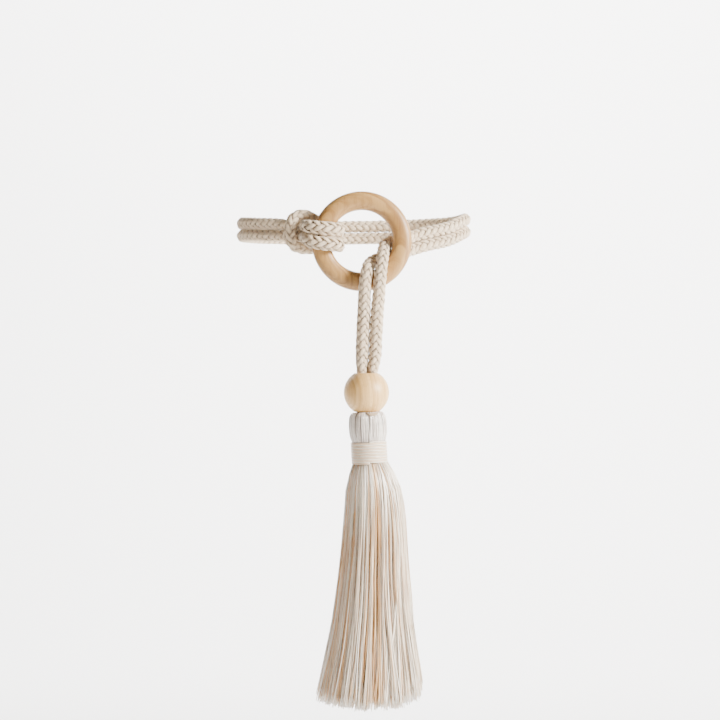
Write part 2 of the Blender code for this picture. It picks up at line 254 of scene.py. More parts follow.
def pair_stations():
    """Both strands from the tassel's head round to the hitch, as pairs of stations."""
    round_size = (ROUND_ROPE, ROUND_ROPE)
    pairs = []
    for x_upper, x_lower, y, z, *size in HANGING_ROWS:
        upper = station(x_upper, y, z, RIGHT, *size)
        lower = station(x_lower, y, z, LEFT, *size)
        pairs.append((upper, lower))
    for index, row in enumerate(FOLD_ROWS):
        outward = RIGHT.lerp(UP, (index + 1) / len(FOLD_ROWS)).normalized()
        upper = station(*row[:3], outward, *round_size)
        lower = station(*row[3:], -outward, *round_size)
        pairs.append((upper, lower))
    for x, z_upper, z_lower in RIGHT_ROWS:
        middle = (z_upper + z_lower) / 2
        pairs.append(side_by_side(x, loop_depth(x), middle, z_upper - z_lower, *round_size))
    for index in range(BACK_STATIONS):
        share = index / (BACK_STATIONS - 1)
        x = LOOP_HALF_WIDTH * math.cos(math.pi * share)
        y = LOOP_HALF_DEPTH * math.sin(math.pi * share)
        z = RIGHT_END_Z + (LEFT_END_Z - RIGHT_END_Z) * share
        pairs.append(side_by_side(x, y, z, PAIR_SPACING, *round_size))
    for x, z, spacing, *size in LEFT_ROWS:
        pairs.append(side_by_side(x, loop_depth(x), z, spacing, *size))
    for row in WRAP_ROWS:
        pairs.append(side_by_side(*row))
    for x, y, z_upper, z_lower, *size in LEG_ROWS:
        middle = (z_upper + z_lower) / 2
        pairs.append(side_by_side(x, y, middle, z_upper - z_lower, *size))
    return pairs


def rope_stations():
    """The whole rope from one end in the tassel's head to the other."""
    pairs = pair_stations()
    upper = [pair[0] for pair in pairs]
    lower = [pair[1] for pair in pairs]
    bar = [station(x, y, z, side, *size) for x, y, z, side, *size in BAR_ROWS]
    return np.array(upper + bar + lower[::-1])


def lengths_along(points):
    """How far along its line each point lies."""
    gaps = np.linalg.norm(np.diff(points[:, :3], axis=0), axis=1)
    return np.concatenate([[0.0], np.cumsum(gaps)])


def smooth(stations, samples, places=None):
    """A smooth curve through the stations, as this many samples between each two."""
    places = lengths_along(stations) if places is None else places
    slopes = np.gradient(stations, places, axis=0)
    curve = []
    for index, gap in enumerate(np.diff(places)):
        share = np.linspace(0, 1, samples, endpoint=False)[:, None]
        start, end = stations[index], stations[index + 1]
        leave, arrive = slopes[index] * gap, slopes[index + 1] * gap
        curve.append(
            (2 * share**3 - 3 * share**2 + 1) * start
            + (share**3 - 2 * share**2 + share) * leave
            + (3 * share**2 - 2 * share**3) * end
            + (share**3 - share**2) * arrive
        )
    curve.append(stations[-1:])
    return np.concatenate(curve)


def evenly(curve, step):
    """The same curve with its samples the same distance apart."""
    places = lengths_along(curve)
    count = round(places[-1] / step)
    wanted = np.linspace(0, places[-1], count + 1)
    columns = [np.interp(wanted, places, curve[:, column]) for column in range(curve.shape[1])]
    return np.stack(columns, axis=1), places[-1]


def unit(vectors):
    """The same vectors with length one."""
    return vectors / np.maximum(np.linalg.norm(vectors, axis=-1, keepdims=True), 1e-12)


def carried_side(tangents, start):
    """A side direction carried along a curve without turning about it."""
    sides = np.empty_like(tangents)
    side = np.array(start, float)
    for index, tangent in enumerate(tangents):
        side = side - tangent * side.dot(tangent)
        side /= np.linalg.norm(side)
        sides[index] = side
    return sides


class Strands:
    """Many swept strands gathered into one mesh, each with its own sides and thickness."""

    def __init__(self):
        self.points = []
        self.loops = []
        self.loop_counts = []
        self.maps = []
        self.heights = []
        self.count = 0

    def add(self, centres, thin, half_wide, half_thin, sides, tone, turn=0.0, heights=1.0):
        """One closed strand: centres in millimetres, the side its thin half points to, half sizes, and its
        painted shade and highlight.
        """
        rings = len(centres)
        heading = unit(np.gradient(centres, axis=0))
        thin = unit(thin - heading * np.sum(thin * heading, axis=1, keepdims=True))
        wide = np.cross(thin, heading)
        angles = turn + math.tau * np.arange(sides) / sides
        half_wide = np.broadcast_to(half_wide, rings)[:, None, None]
        half_thin = np.broadcast_to(half_thin, rings)[:, None, None]
        across = np.cos(angles)[None, :, None] * wide[:, None, :] * half_wide
        through = np.sin(angles)[None, :, None] * thin[:, None, :] * half_thin
        ring_points = centres[:, None, :] + across + through
        self.points.append(ring_points.reshape(-1, 3))
        self.heights.append(np.broadcast_to(heights, (rings, sides)).reshape(-1))
        along = lengths_along(centres)
        ring, side = np.meshgrid(np.arange(rings - 1), np.arange(sides), indexing="ij")
        steps = ((0, 0), (0, 1), (1, 1), (1, 0))
        quads = [(ring + up) * sides + (side + over) % sides for up, over in steps]
        places = [np.stack([(side + over) / sides, along[ring + up]], axis=-1) for up, over in steps]
        self.add_faces(np.stack(quads, axis=-1), np.stack(places, axis=-2), tone)
        around = np.arange(sides)
        for end, order in ((0, around[::-1]), (rings - 1, around)):
            places = np.stack([order / sides, np.full(sides, along[end])], axis=-1)
            self.add_faces((end * sides + order)[None, :], places[None], tone)
        self.count += rings * sides

    def add_faces(self, corners, places, tone):
        """Faces with the same number of corners, whose places on the strand's map go with them."""
        size = corners.shape[-1]
        self.loops.append(corners.reshape(-1) + self.count)
        self.loop_counts.append(np.full(corners.size // size, size))
        places = places.reshape(-1, 2)
        self.maps.append(np.column_stack([places, np.full(len(places), tone)]))

    def finish(self, name):
        """The mesh, with the strand's own map, tone and painted shading, under the name height, stored on
        it.
        """
        points = np.concatenate(self.points) * MM
        loops = np.concatenate(self.loops)
        counts = np.concatenate(self.loop_counts)
        maps = np.concatenate(self.maps).astype(np.float32)
        starts = np.cumsum(counts) - counts
        mesh = bpy.data.meshes.new(name)
        mesh.vertices.add(len(points))
        mesh.vertices.foreach_set("co", points.astype(np.float32).ravel())
        mesh.loops.add(len(loops))
        mesh.loops.foreach_set("vertex_index", loops.astype(np.int32))
        mesh.polygons.add(len(counts))
        mesh.polygons.foreach_set("loop_start", starts.astype(np.int32))
        mesh.update(calc_edges=True)
        mesh.uv_layers.new(name="strand").data.foreach_set("uv", maps[:, :2].ravel())
        tone = np.column_stack([maps[:, 2], np.zeros(len(maps), np.float32)])
        mesh.uv_layers.new(name="tone").data.foreach_set("uv", tone.ravel())
        height = mesh.attributes.new("height", "FLOAT", "POINT")
        height.data.foreach_set("value", np.concatenate(self.heights).astype(np.float32))
        mesh.shade_smooth()
        return mesh


def link_object(name, data):
    """A new object in the scene."""
    made = bpy.data.objects.new(name, data)
    bpy.context.scene.collection.objects.link(made)
    return made


def place(name, mesh, material, slot, *nodes):
    """A finished piece in the scene, riding on the tieback and standing for its nodes."""
    made = link_object(name, mesh)
    mesh.materials.clear()
    mesh.materials.append(material)
    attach(made, "root")
    if nodes:
        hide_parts(*nodes)
    return made


def feed(tree, slot, value):
    """Give an input a socket to follow or a plain value."""
    if isinstance(value, bpy.types.NodeSocket):
        tree.links.new(value, slot)
    else:
        slot.default_value = value


def add_node(tree, kind, inputs=(), **settings):
    """A shader node with its settings, and its inputs by name or number."""
    made = tree.nodes.new(kind)
    for name, value in settings.items():
        setattr(made, name, value)
    for key, value in dict(inputs).items():
        feed(tree, made.inputs[key], value)
    return made


def maths(tree, operation, *terms):
    """The result of a Math node."""
    return add_node(tree, "ShaderNodeMath", enumerate(terms), operation=operation).outputs[0]


def vector_maths(tree, operation, *terms):
    """The outputs of a Vector Math node."""
    return add_node(tree, "ShaderNodeVectorMath", enumerate(terms), operation=operation).outputs


def noise(tree, inputs, **settings):
    """The grey value of a Noise Texture node."""
    return add_node(tree, "ShaderNodeTexNoise", inputs, **settings).outputs["Fac"]


def ranged(tree, value, low, high, new_low=0.0, new_high=1.0):
    """A value carried from one range to another and held inside it."""
    inputs = {"Value": value, "From Min": low, "From Max": high, "To Min": new_low, "To Max": new_high}
    return add_node(tree, "ShaderNodeMapRange", inputs).outputs["Result"]


def mix_colours(tree, factor, first, second):
    """Two colours mixed by a linked factor. Each colour is a socket or a plain colour."""
    mixed = add_node(tree, "ShaderNodeMix", {"Factor": factor}, data_type="RGBA")
    slots = [item for item in mixed.inputs if item.type == "RGBA"]
    for slot, colour in zip(slots, (first, second)):
        plain = not isinstance(colour, bpy.types.NodeSocket)
        feed(tree, slot, (*colour, 1.0) if plain else colour)
    return [item for item in mixed.outputs if item.type == "RGBA"][0]


def new_group(name, vectors, values, results):
    """An empty shader node group that takes vectors and values, with its two ends' sockets."""
    group = bpy.data.node_groups.new(name, "ShaderNodeTree")
    sockets = [(label, "INPUT", "NodeSocketVector") for label in vectors]
    sockets += [(label, "INPUT", "NodeSocketFloat") for label in values]
    sockets += [(label, "OUTPUT", "NodeSocketFloat") for label in results]
    for label, way, kind in sockets:
        group.interface.new_socket(label, in_out=way, socket_type=kind)
    given = group.nodes.new("NodeGroupInput").outputs
    result = group.nodes.new("NodeGroupOutput").inputs
    return group, given, result


def filament_group():
    """Fine parallel filaments along a strand, from its own map: a height and a streak mask."""
    group = bpy.data.node_groups.get("filaments")
    if group:
        return group
    values = ("Around", "Along", "Twist")
    group, given, result = new_group("filaments", ("Map",), values, ("Height", "Streak"))
    split = add_node(group, "ShaderNodeSeparateXYZ", {0: given["Map"]}).outputs
    sheared = maths(group, "MULTIPLY_ADD", split["Y"], given["Twist"], split["X"])
    around = maths(group, "MULTIPLY", sheared, given["Around"])
    along = maths(group, "MULTIPLY", split["Y"], given["Along"])
    spot = add_node(group, "ShaderNodeCombineXYZ", {0: around, 1: along}).outputs[0]
    inputs = {"Vector": spot, "Scale": 1.0, "Detail": 3.0, "Roughness": 0.6, "Distortion": 0.25}
    height = noise(group, inputs)
    feed(group, result["Height"], height)
    feed(group, result["Streak"], ranged(group, height, 0.3, 0.7))
    return group


def grain_group():
    """Turned wood: the layers that the tool cut across, fine fibres along the grain, and a height."""
    group = bpy.data.node_groups.get("wood_grain")
    if group:
        return group
    vectors = ("Place", "Fibre", "Layer")
    group, given, result = new_group("wood_grain", vectors, ("Wander",), ("Layers", "Fibres", "Height"))
    bend = noise(group, {"Vector": given["Place"], "Scale": 70.0, "Detail": 2.0, "Roughness": 0.5})
    across = vector_maths(group, "DOT_PRODUCT", given["Place"], given["Layer"])["Value"]
    bent = maths(group, "MULTIPLY_ADD", bend, given["Wander"], across)
    inputs = {"W": bent, "Scale": 1.0, "Detail": 3.0, "Roughness": 0.55}
    layers = noise(group, inputs, noise_dimensions="1D")
    scaled = vector_maths(group, "MULTIPLY", given["Place"], given["Fibre"])[0]
    fibres = noise(group, {"Vector": scaled, "Scale": 1.0, "Detail": 4.0, "Roughness": 0.6})
    feed(group, result["Layers"], layers)
    feed(group, result["Fibres"], ranged(group, fibres, 0.5, 0.75))
    feed(group, result["Height"], fibres)
    return group


def new_material(name, roughness, **constants):
    """A material with its Principled shader, whose plain values sit on its own sockets."""
    material = bpy.data.materials.new(name)
    material.use_nodes = True
    tree = material.node_tree
    shader = tree.nodes["Principled BSDF"].inputs
    shader["Roughness"].default_value = roughness
    for key, value in constants.items():
        shader[key.replace("_", " ")].default_value = value
    return material, tree, shader


def bump(tree, shader, height, strength, distance):
    """A Bump node from a height to the shader's normal."""
    inputs = {"Height": height, "Strength": strength, "Distance": distance}
    feed(tree, shader["Normal"], add_node(tree, "ShaderNodeBump", inputs).outputs["Normal"])


def object_place(tree):
    """Where a point lies on its object."""
    return add_node(tree, "ShaderNodeTexCoord").outputs["Object"]


def strand_painted_shading(tree):
    """The painted shading that each strand carries as its height: painted shade towards 0, deep in its
    bundle or groove, 1 on top, and a painted highlight above 1.
    """
    return add_node(tree, "ShaderNodeAttribute", attribute_name="height").outputs["Fac"]


def strand_filaments(tree, around, along, twist):
    """The filament group on the strands' own map."""
    strand = add_node(tree, "ShaderNodeUVMap", uv_map="strand").outputs[0]
    inputs = {"Map": strand, "Around": around, "Along": along, "Twist": twist}
    return add_node(tree, "ShaderNodeGroup", inputs, node_tree=filament_group()).outputs


def cotton_material(colours):
    """Matte, slightly fuzzy cotton: pale on the stitches, with painted shade, a dark tan, in the grooves
    between them.
    """
    material = bpy.data.materials.get("braided_cotton")
    if material:
        return material
    material, tree, shader = new_material("braided_cotton", 0.92, Sheen_Weight=0.35, Sheen_Roughness=0.5)
    filaments = strand_filaments(tree, 13.0, 0.45, 0.08)
    # Painted shade in the grooves: the lower a strand's value, the more of the groove shade colour
    raised = ranged(tree, strand_painted_shading(tree), 0.32, 0.95)
    body = mix_colours(tree, raised, colours.cotton_groove_shade, colours.cotton)
    spot = object_place(tree)
    patch = noise(tree, {"Vector": spot, "Scale": 160.0, "Detail": 3.0, "Roughness": 0.6})
    dull = ranged(tree, patch, 0.45, 0.7, 0.0, 0.5)
    patched = mix_colours(tree, dull, body, colours.cotton_shade)
    streak = maths(tree, "MULTIPLY", filaments["Streak"], 0.5)
    feed(tree, shader["Base Color"], mix_colours(tree, streak, patched, colours.cotton_shade))
    fuzz = noise(tree, {"Vector": spot, "Scale": 2600.0, "Detail": 4.0, "Roughness": 0.7})
    bump(tree, shader, maths(tree, "MULTIPLY_ADD", fuzz, 0.35, filaments["Height"]), 1.0, 0.0008)
    return material


def thread_material(name, pale, warm, deep, around, twist=0.0, roughness=0.3):
    """Silky thread: a tone of its own for each strand, with painted shade where it lies deep in the bundle
    and a painted highlight where its value goes above one.
    """
    material, tree, shader = new_material(
        name,
        roughness,
        Specular_IOR_Level=0.8,
        Sheen_Weight=0.15,
        Sheen_Roughness=0.3,
        Subsurface_Weight=0.08,
        Subsurface_Radius=(1.0, 0.6, 0.4),
        Subsurface_Scale=0.0015,
    )
    tone = add_node(tree, "ShaderNodeUVMap", uv_map="tone").outputs[0]
    split = add_node(tree, "ShaderNodeSeparateXYZ", {0: tone}).outputs
    toned = mix_colours(tree, ranged(tree, split["X"], 0.3, 1.0), pale, warm)
    height = strand_painted_shading(tree)
    # Painted shade below one and painted highlight above one, from the strand's painted shading
    painted_shaded = mix_colours(tree, height, deep, toned)
    painted_highlighted = mix_colours(tree, ranged(tree, height, 1.0, 1.5), painted_shaded, PAINTED_HIGHLIGHT)
    filaments = strand_filaments(tree, around, 0.3, twist)
    streak = maths(tree, "MULTIPLY", filaments["Streak"], 0.3)
    feed(tree, shader["Base Color"], mix_colours(tree, streak, painted_highlighted, deep))
    bump(tree, shader, filaments["Height"], 0.5, 0.0002)
    return material


def core_material():
    """Plain yarn, fine and upright, that shows only in the gaps of the tassel's head."""
    material, tree, shader = new_material("core_yarn", 0.7)
    stretched = vector_maths(tree, "MULTIPLY", object_place(tree), (1.0, 1.0, 0.08))[0]
    yarns = noise(tree, {"Vector": stretched, "Scale": 1400.0, "Detail": 3.0})
    colour = mix_colours(tree, yarns, (0.42, 0.34, 0.28), (0.62, 0.54, 0.46))
    feed(tree, shader["Base Color"], colour)
    bump(tree, shader, yarns, 0.5, 0.0004)
    return material


def wood_material(name, pale, tan, line, centre, grain):
    """Pale turned wood with its cut layers as soft bands, fine dark fibres and a satin finish."""
    material, tree, shader = new_material(
        name, 0.46, Specular_IOR_Level=0.5, Coat_Weight=0.15, Coat_Roughness=0.35
    )
    middle = [value * MM for value in centre]
    spot = vector_maths(tree, "SUBTRACT", object_place(tree), middle)[0]
    inputs = {"Place": spot, **grain}
    grain = add_node(tree, "ShaderNodeGroup", inputs, node_tree=grain_group()).outputs
    body = mix_colours(tree, ranged(tree, grain["Layers"], 0.38, 0.64), pale, tan)
    fine = maths(tree, "MULTIPLY", grain["Fibres"], 0.7)
    feed(tree, shader["Base Color"], mix_colours(tree, fine, body, line))
    feed(tree, shader["Roughness"], ranged(tree, grain["Height"], 0.0, 1.0, 0.38, 0.56))
    bump(tree, shader, grain["Height"], 0.15, 0.0003)
    return material


def spin_round(shape, corners, edges, centre, axis, steps):
    """Corners and edges spun once round an axis, with the seam closed."""
    bmesh.ops.spin(
        shape, geom=corners + edges, cent=centre, axis=axis, angle=math.tau, steps=steps, use_merge=True
    )
    bmesh.ops.remove_doubles(shape, verts=shape.verts, dist=MERGE_DISTANCE)


def finish_shape(shape, name):
    """A smooth mesh from a bmesh, with its faces turned outward."""
    bmesh.ops.recalc_face_normals(shape, faces=shape.faces)
    mesh = bpy.data.meshes.new(name)
    shape.to_mesh(mesh)
    shape.free()
    mesh.shade_smooth()
    return mesh


def turned_mesh(name, profile, axis, centre, steps):
    """A closed profile of (radius, along) points in millimetres, spun about an axis."""
    middle = Vector(centre) * MM
    shape = bmesh.new()
    corners = [shape.verts.new(middle + (RIGHT * radius + axis * along) * MM) for radius, along in profile]
    edges = [shape.edges.new(pair) for pair in zip(corners, corners[1:] + corners[:1])]
    spin_round(shape, corners, edges, middle, axis, steps)
    return finish_shape(shape, name)


def leaned(points):
    """Points of the tassel's own frame, in millimetres, leaned and moved to their place."""
    turn = np.array(Matrix.Rotation(-TASSEL_LEAN, 3, "Y"))
    return points @ turn.T + np.array(TASSEL_TOP)


def number_property(kind, name, description, default, least):
    """A length in millimetres, or a count, for the sidebar."""
    return kind(name=name, description=description, default=default, min=least)


def colour_property(name, description, default):
    """A colour for the sidebar."""
    return FloatVectorProperty(name=name, description=description, default=default, subtype="COLOR")


class TiebackSizes(bpy.types.PropertyGroup):
    """Sizes, in millimetres, and counts that the fine pieces are made with."""

    braid_period: number_property(
        FloatProperty, "Braid Period", "Length of rope in which a yarn goes once round it", 25.0, 10.0
    )
    yarn_half_width: number_property(
        FloatProperty, "Yarn Half Width", "Half the width of one yarn of the braid", 1.2, 0.2
    )
    yarn_half_thickness: number_property(
        FloatProperty, "Yarn Half Thickness", "Half the thickness of one yarn of the braid", 0.66, 0.1
    )
    skirt_threads: number_property(
        IntProperty, "Skirt Threads", "Threads in the outer layer; the inner one has fewer", 2000, 100
    )
    head_yarns: number_property(
        IntProperty, "Head Yarns", "Folded yarns that show on the tassel's head", 200, 12
    )
    band_turns: number_property(
        IntProperty, "Band Turns", "Threads that lie one above the other on the neck", 16, 6
    )


class TiebackColours(bpy.types.PropertyGroup):
    """Colours of the tieback's finishes, and of the shade painted on the rope and the tassel."""

    cotton: colour_property("Cotton", "The rope's raised stitches", (0.85, 0.69, 0.48))
    # Painted shade between the stitches, which also colours the whole core
    cotton_groove_shade: colour_property("Cotton Groove", "Between the stitches", (0.18, 0.10, 0.042))
    cotton_shade: colour_property("Cotton Shade", "Duller patches and fibres", (0.58, 0.41, 0.24))
    ring_pale: colour_property("Ring Pale", "Light wood of the ring", (0.435, 0.247, 0.078))
    ring_tan: colour_property("Ring Tan", "Darker wood of the ring", (0.285, 0.142, 0.036))
    ring_line: colour_property("Ring Line", "Fine fibres of the ring", (0.19, 0.078, 0.018))
    bead_pale: colour_property("Bead Pale", "Light wood of the bead", (0.76, 0.485, 0.185))
    bead_tan: colour_property("Bead Tan", "Darker wood of the bead", (0.57, 0.325, 0.10))
    bead_line: colour_property("Bead Line", "Fine fibres of the bead", (0.48, 0.255, 0.075))
    thread_pale: colour_property("Thread Pale", "The tassel's lighter threads", (0.95, 0.87, 0.72))
    thread_peach: colour_property("Thread Peach", "The tassel's warmer threads", (0.87, 0.53, 0.235))
    # Painted shade deep in the skirt; its fine filament streaks also lean towards it
    thread_shade: colour_property("Thread Shade", "Deep in the tassel", (0.50, 0.265, 0.115))
    # Painted shade between the band's threads
    band_shade: colour_property("Band Shade", "Between the band's threads", (0.34, 0.19, 0.10))
    head_pale: colour_property("Head Pale", "Lighter yarns of the head", (0.95, 0.87, 0.78))
    head_warm: colour_property("Head Warm", "Warmer yarns of the head", (0.42, 0.29, 0.22))
    # Painted shade in the head's grooves and where its lobes part
    head_shade: colour_property("Head Shade", "Deep in the head", (0.10, 0.055, 0.035))


class TIEBACK_OT_stage(bpy.types.Operator):
    """Camera, pale floor and soft studio light"""

    bl_idname = "tieback.stage"
    bl_label = "Add Stage"

    # The floor and the wall behind, in metres
    floor = -0.33
    front = -2.0
    wall = 1.2
    top = 1.6
    bend = 0.5
    bend_steps = 16
    half_wide = 2.4

    # Name, place, what it points at, size, watts and colour
    lights = (
        ("key", (1.65, -0.85, 0.6), (0.0, -0.05, -0.1), 0.6, 185.0, (1.0, 0.985, 0.965)),
        ("fill", (-1.3, -1.0, 0.1), (0.0, -0.05, -0.1), 1.2, 3.5, (1.0, 0.74, 0.5)),
        ("wall", (0.0, 0.25, 0.9), (0.0, 1.2, 0.62), 1.4, 95.0, (1.0, 1.0, 1.0)),
    )

    def execute(self, context):
        self.add_camera(context)
        self.add_floor()
        self.add_lights(context)
        return {"FINISHED"}

    def add_camera(self, context):
        """A level camera in front of the ring."""
        data = bpy.data.cameras.new("front_view")
        data.sensor_width = 36.0
        data.lens = data.sensor_width * VIEW_DISTANCE / VIEW_WIDTH
        data.clip_end = 20.0
        camera = link_object("front_view", data)
        ring_middle, _ = node_box("ring")
        camera.location = (VIEW_X, ring_middle.y * MM - VIEW_DISTANCE, VIEW_Z)
        camera.rotation_euler = (math.pi / 2, 0.0, 0.0)
        context.scene.camera = camera

    def add_floor(self):
        """A pale floor that curves up behind the tieback."""
        shape = bmesh.new()
        line = [shape.verts.new((-self.half_wide, self.front, self.floor))]
        for index in range(self.bend_steps + 1):
            angle = math.pi / 2 * index / self.bend_steps
            y = self.wall - self.bend + self.bend * math.sin(angle)
            z = self.floor + self.bend - self.bend * math.cos(angle)
            line.append(shape.verts.new((-self.half_wide, y, z)))
        line.append(shape.verts.new((-self.half_wide, self.wall, self.top)))
        edges = [shape.edges.new(pair) for pair in zip(line, line[1:])]
        grown = bmesh.ops.extrude_edge_only(shape, edges=edges)["geom"]
        moved = [item for item in grown if isinstance(item, bmesh.types.BMVert)]
        bmesh.ops.translate(shape, verts=moved, vec=(2 * self.half_wide, 0.0, 0.0))
        mesh = finish_shape(shape, "studio_floor")
        material, _, shader = new_material("studio_paper", 0.9)
        shader["Base Color"].default_value = (0.9, 0.895, 0.89, 1.0)
        mesh.materials.append(material)
        link_object("studio_floor", mesh)

    def add_lights(self, context):
        """A soft light from the right, a weak one from the left, one on the wall and an even sky."""
        for name, spot, aim, size, watts, colour in self.lights:
            data = bpy.data.lights.new(name, "AREA")
            data.size = size
            data.energy = watts
            data.color = colour
            lamp = link_object(name, data)
            lamp.location = spot
            lamp.rotation_euler = (Vector(aim) - Vector(spot)).to_track_quat("-Z", "Y").to_euler()
        world = bpy.data.worlds.new("studio")
        world.use_nodes = True
        sky = world.node_tree.nodes["Background"].inputs
        sky["Color"].default_value = (1.0, 0.94, 0.87, 1.0)
        sky["Strength"].default_value = 0.2
        context.scene.world = world


class TIEBACK_OT_rope(bpy.types.Operator):
    """Twelve cotton yarns braided over two and under two, along the whole rope"""

    bl_idname = "tieback.rope"
    bl_label = "Add Braided Rope"

    ring_step = 0.75
    core_step = 2.5
    carriers = 6
    mean_radius = 2.4
    weave_depth = 0.62
    core_radius = 1.9
    yarn_sides = 8
    fibre_count = 3000
    fibre_radius = 0.04

    def execute(self, context):
        sizes = context.scene.tieback_sizes
        cotton = cotton_material(context.scene.tieback_colours)
        curve = smooth(rope_stations(), 24)
        samples, length = evenly(curve, self.ring_step)
        for name, way in (("rope_braid", 1), ("rope_braid_crossing", -1)):
            strands = Strands()
            for carrier in range(self.carriers):
                self.add_yarn(strands, samples, sizes, carrier, way)
            if way == 1:
                self.add_core(strands, curve)
            place(name, strands.finish(name), cotton, "cotton_rope", "rope")
        fuzz = self.stray_fibres(samples)
        place("rope_fuzz", fuzz, cotton, "cotton_rope", "rope")
        return {"FINISHED"}

    def frames(self, samples):
        """Centre line, carried side directions, and the section's own two directions."""
        centres = samples[:, :3]
        tangents = unit(np.gradient(centres, axis=0))
        first = carried_side(tangents, RIGHT)
        second = np.cross(tangents, first)
        outward = samples[:, 3:6]
        outward = unit(outward - tangents * np.sum(outward * tangents, axis=1, keepdims=True))
        beside = np.cross(tangents, outward)
        return centres, first, second, outward, beside

    def on_rope(self, samples, angle, radius):
        """Points at this angle and radius, with the radius stretched as the rope is pressed."""
        centres, first, second, outward, beside = self.frames(samples)
        ray = np.cos(angle)[:, None] * first + np.sin(angle)[:, None] * second
        along_out = np.sum(ray * outward, axis=1) * radius * samples[:, 6] / ROUND_ROPE
        along_side = np.sum(ray * beside, axis=1) * radius * samples[:, 7] / ROUND_ROPE
        return centres + outward * along_out[:, None] + beside * along_side[:, None], centres

    def add_yarn(self, strands, samples, sizes, carrier, way):
        """One yarn that winds one way round the rope, over two and under two of the others."""
        # The two ways are out of step, so that one dips where the other rises
        run = np.arange(len(samples)) * self.ring_step
        angle = way * math.tau * run / sizes.braid_period + math.tau * carrier / self.carriers
        crossing = 2 * self.carriers * run / sizes.braid_period
        phase = crossing + 2 * carrier - 0.5 if way == 1 else crossing - 2 * carrier + 2.5
        wave = np.cos(phase * math.pi / 2)
        over = wave * (1.25 - 0.25 * wave**2)
        chance = np.random.default_rng(31 + carrier + 50 * (way + 1))
        knots = np.linspace(0, run[-1], int(run[-1] / 5))
        plump, proud = [np.interp(run, knots, chance.normal(0, 1, len(knots))) for _ in range(2)]
        radius = self.mean_radius + self.weave_depth * over + 0.05 * proud
        line, centres = self.on_rope(samples, angle, radius)
        half_wide = sizes.yarn_half_width * (1 + 0.12 * over + 0.08 * plump)
        inner_side = -math.pi / 2
        lift = np.sin(inner_side + math.tau * np.arange(self.yarn_sides) / self.yarn_sides)
        # Painted shade on each yarn's inner side and where it dips under the others
        heights = np.clip(0.3 + 0.3 * over[:, None] + 0.45 * lift[None, :], 0, 1)
        half_thick = sizes.yarn_half_thickness
        away = line - centres
        strands.add(line, away, half_wide, half_thick, self.yarn_sides, 0.5, inner_side, heights)

    def add_core(self, strands, curve):
        """The plain core that fills the braid, coloured all over with the painted groove shade."""
        samples, _ = evenly(curve, self.core_step)
        centres, _, _, _, beside = self.frames(samples)
        half_wide = self.core_radius * samples[:, 6] / ROUND_ROPE
        half_thin = self.core_radius * samples[:, 7] / ROUND_ROPE
        strands.add(centres, beside, half_wide, half_thin, 8, 0.5, heights=0.0)

    def stray_fibres(self, samples):
        """Short loose fibres that stand a little off the cotton."""
        chance = np.random.default_rng(23)
        strands = Strands()
        share = np.linspace(0, 1, 5)
        for _ in range(self.fibre_count):
            reach = chance.uniform(1.2, 3.2)
            start = chance.integers(8, len(samples) - 8)
            spots = start + np.round(share * reach / self.ring_step * chance.choice([-1, 1])).astype(int)
            turned = chance.uniform(0, math.tau) + chance.normal(0, 0.5) * share
            lifted = 3.3 + chance.uniform(0.15, 0.75) * share**1.5
            line, centres = self.on_rope(samples[np.clip(spots, 0, len(samples) - 1)], turned, lifted)
            line = line + share[:, None] * chance.normal(0, 0.25, 3)
            half = self.fibre_radius * (1 - 0.6 * share)
            strands.add(line, line - centres, half, half, 3, 0.5)
        return strands.finish("rope_fuzz")


class TIEBACK_OT_ring(bpy.types.Operator):
    """Turned wooden ring with softly flattened faces"""

    bl_idname = "tieback.ring"
    bl_label = "Add Wooden Ring"

    section_points = 36
    steps = 160
    grain = {"Fibre": (800.0, 800.0, 45.0), "Layer": (120.0, 900.0, 60.0), "Wander": 2.2}

    def execute(self, context):
        colours = context.scene.tieback_colours
        centre, sides = node_box("ring")
        outer_radius = sides.x / 2
        middle = (outer_radius + RING_INNER_RADIUS) / 2
        half_width = (outer_radius - RING_INNER_RADIUS) / 2
        power = 2 / RING_SQUARENESS
        profile = []
        for index in range(self.section_points):
            angle = math.tau * index / self.section_points
            across = math.copysign(abs(math.cos(angle)) ** power, math.cos(angle))
            along = math.copysign(abs(math.sin(angle)) ** power, math.sin(angle))
            profile.append((middle + half_width * across, sides.y / 2 * along))
        mesh = turned_mesh("wood_ring", profile, UP.cross(RIGHT), centre, self.steps)
        tones = (colours.ring_pale, colours.ring_tan, colours.ring_line)
        wood = wood_material("ring_wood", *tones, centre, self.grain)
        place("wood_ring", mesh, wood, "ring_wood", "ring")
        return {"FINISHED"}


class TIEBACK_OT_bead(bpy.types.Operator):
    """Drilled wooden ball with softened rims"""

    bl_idname = "tieback.bead"
    bl_label = "Add Wooden Bead"

    arc_points = 41
    lip_points = 9
    steps = 112
    grain = {"Fibre": (900.0, 900.0, 50.0), "Layer": (520.0, 200.0, 30.0), "Wander": 1.2}

    def execute(self, context):
        colours = context.scene.tieback_colours
        centre, sides = node_box("bead")
        radius = sides.x / 2
        lip_radius = BEAD_BORE_RADIUS + BEAD_LIP
        end_angle = math.acos(lip_radius / (radius - BEAD_LIP))
        lip_height = (radius - BEAD_LIP) * math.sin(end_angle)
        ball = [
            (radius * math.cos(angle), radius * math.sin(angle))
            for angle in np.linspace(-end_angle, end_angle, self.arc_points)
        ]
        lip = [
            (lip_radius + BEAD_LIP * math.cos(angle), lip_height + BEAD_LIP * math.sin(angle))
            for angle in np.linspace(end_angle, math.pi, self.lip_points)
        ]
        lower_lip = [(out, -up) for out, up in reversed(lip[1:])]
        profile = ball + lip[1:] + lower_lip
        mesh = turned_mesh("wood_bead", profile, UP, centre, self.steps)
        tones = (colours.bead_pale, colours.bead_tan, colours.bead_line)
        wood = wood_material("bead_wood", *tones, centre, self.grain)
        place("wood_bead", mesh, wood, "bead_wood", "bead")
        return {"FINISHED"}


